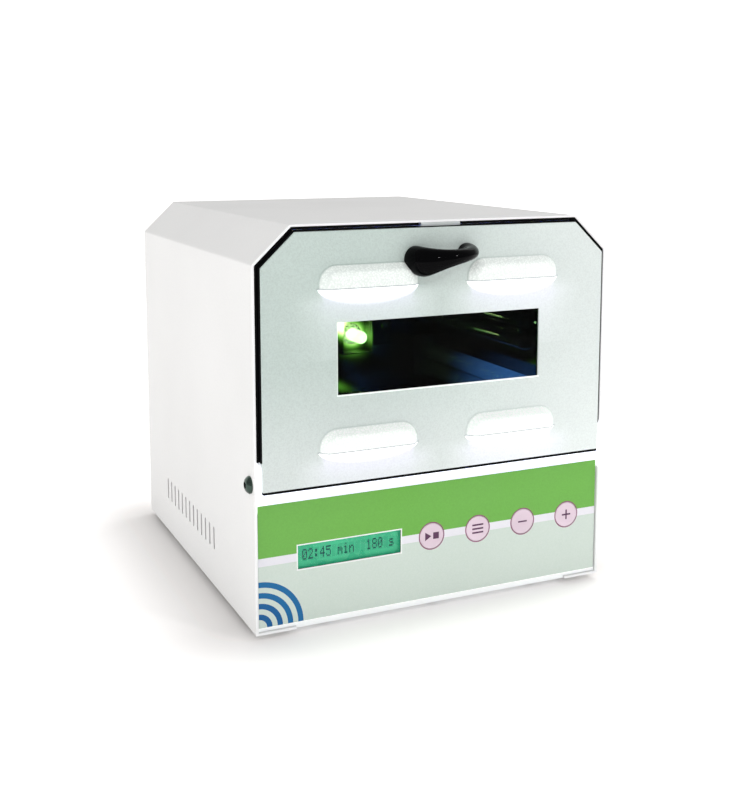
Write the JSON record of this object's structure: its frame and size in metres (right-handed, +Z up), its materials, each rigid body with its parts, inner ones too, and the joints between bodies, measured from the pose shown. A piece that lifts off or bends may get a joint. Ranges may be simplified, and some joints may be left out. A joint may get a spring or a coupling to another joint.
{
  "type": "dental lab light curing unit",
  "caption": "Bench-top light curing box with a drop-down windowed door, louvers, membrane control panel, mirror-lined lamp chamber and turntable.",
  "frame": {"origin": "middle of the unit's footprint at the underside of the feet, door closed and handle included", "axes": "+Z up, +Y from the door towards the rear panel, +X to the right seen from the front"},
  "size_m": [0.2342, 0.272, 0.233],
  "materials": {
    "outer_cover": "satin powder coat",
    "base_tray": "satin powder coat",
    "front_panel": "satin powder coat",
    "control_overlay": "satin printed film",
    "display_window": "clear",
    "display_module": "satin",
    "display_glass": "satin",
    "control_board": "satin",
    "standoffs": "satin",
    "board_components": "satin",
    "chamber_front_frame": "satin powder coat",
    "chamber_floor": "polished",
    "chamber_sides": "polished",
    "chamber_ceiling": "polished",
    "chamber_back": "polished",
    "chamber_supports": "galvanised",
    "tube_lamps": "phosphor coated",
    "lamp_caps": "satin",
    "lamp_holders": "satin",
    "halogen_bulb": "clear",
    "bulb_socket": "unglazed",
    "bulb_bracket": "brushed",
    "bulb_screws": "zinc plated",
    "turntable_bush": "satin",
    "turntable_motor": "zinc plated",
    "power_supply": "satin",
    "ballasts": "satin",
    "rear_panel": "satin powder coat",
    "fan_frame": "satin",
    "fan_guard": "plated wire",
    "rear_screws": "zinc plated",
    "mains_inlet": "satin",
    "power_switch_body": "satin",
    "door_seal": "matt",
    "door_catch": "satin",
    "door_sensor": "satin",
    "feet": "matt",
    "base_screws": "zinc plated",
    "pivot_screws": "polished",
    "pivot_nuts": "zinc plated",
    "door_panel": "fine textured powder coat",
    "door_edge_seal": "matt",
    "hinge_ears": "satin powder coat",
    "window_gasket": "matt",
    "window_filter": "tinted",
    "window_retainer": "satin",
    "door_inner_panel": "polished",
    "door_spacers": "satin",
    "door_inner_screws": "zinc plated",
    "strike_plate": "satin",
    "door_handle": "gloss",
    "handle_screws": "zinc plated",
    "start_button": "satin film",
    "menu_button": "satin film",
    "minus_button": "satin film",
    "plus_button": "satin film",
    "turntable_plate": "polished",
    "turntable_shaft": "satin",
    "fan_rotor": "satin",
    "power_rocker": "satin"
  },
  "bodies": {
    "housing": {"outer_cover": "outer_cover", "base_tray": "base_tray", "front_panel": "front_panel", "control_overlay": "control_overlay", "display_window": "display_window", "display_module": "display_module", "display_glass": "display_glass", "control_board": "control_board", "standoffs": "standoffs", "board_components": "board_components", "chamber_front_frame": "chamber_front_frame", "chamber_floor": "chamber_floor", "chamber_sides": "chamber_sides", "chamber_ceiling": "chamber_ceiling", "chamber_back": "chamber_back", "chamber_supports": "chamber_supports", "tube_lamps": "tube_lamps", "lamp_caps": "lamp_caps", "lamp_holders": "lamp_holders", "halogen_bulb": "halogen_bulb", "bulb_socket": "bulb_socket", "bulb_bracket": "bulb_bracket", "bulb_screws": "bulb_screws", "turntable_bush": "turntable_bush", "turntable_motor": "turntable_motor", "power_supply": "power_supply", "ballasts": "ballasts", "rear_panel": "rear_panel", "fan_frame": "fan_frame", "fan_guard": "fan_guard", "rear_screws": "rear_screws", "mains_inlet": "mains_inlet", "power_switch_body": "power_switch_body", "door_seal": "door_seal", "door_catch": "door_catch", "door_sensor": "door_sensor", "feet": "feet", "base_screws": "base_screws", "pivot_screws": "pivot_screws", "pivot_nuts": "pivot_nuts"},
    "door": {"door_panel": "door_panel", "door_edge_seal": "door_edge_seal", "hinge_ears": "hinge_ears", "window_gasket": "window_gasket", "window_filter": "window_filter", "window_retainer": "window_retainer", "door_inner_panel": "door_inner_panel", "door_spacers": "door_spacers", "door_inner_screws": "door_inner_screws", "strike_plate": "strike_plate", "door_handle": "door_handle", "handle_screws": "handle_screws"},
    "start_button": {"start_button": "start_button"},
    "menu_button": {"menu_button": "menu_button"},
    "minus_button": {"minus_button": "minus_button"},
    "plus_button": {"plus_button": "plus_button"},
    "turntable": {"turntable_plate": "turntable_plate", "turntable_shaft": "turntable_shaft"},
    "fan": {"fan_rotor": "fan_rotor"},
    "rocker": {"power_rocker": "power_rocker"}
  },
  "joints": [
    {"name": "door_hinge", "type": "hinge", "parent": "housing", "child": "door", "pos_m": [0, -0.10383, 0.089], "axis": [1, 0, 0], "range_deg": [0, 90]},
    {"name": "start_button_press", "type": "slide", "parent": "housing", "child": "start_button", "axis": [0, 1, 0], "range_m": [0, 0.0005], "stiffness_N_per_m": 600},
    {"name": "menu_button_press", "type": "slide", "parent": "housing", "child": "menu_button", "axis": [0, 1, 0], "range_m": [0, 0.0005], "stiffness_N_per_m": 600},
    {"name": "minus_button_press", "type": "slide", "parent": "housing", "child": "minus_button", "axis": [0, 1, 0], "range_m": [0, 0.0005], "stiffness_N_per_m": 600},
    {"name": "plus_button_press", "type": "slide", "parent": "housing", "child": "plus_button", "axis": [0, 1, 0], "range_m": [0, 0.0005], "stiffness_N_per_m": 600},
    {"name": "turntable_spin", "type": "hinge", "parent": "housing", "child": "turntable", "pos_m": [0, -0.00483, 0.094], "axis": [0, 0, 1], "continuous": true},
    {"name": "fan_spin", "type": "hinge", "parent": "housing", "child": "fan", "pos_m": [-0.052, 0.11917, 0.154], "axis": [0, 1, 0], "continuous": true},
    {"name": "power_rocker_tip", "type": "hinge", "parent": "housing", "child": "rocker", "pos_m": [0.066, 0.12817, 0.074], "axis": [0, 0, 1], "range_deg": [0, 14]}
  ]
}
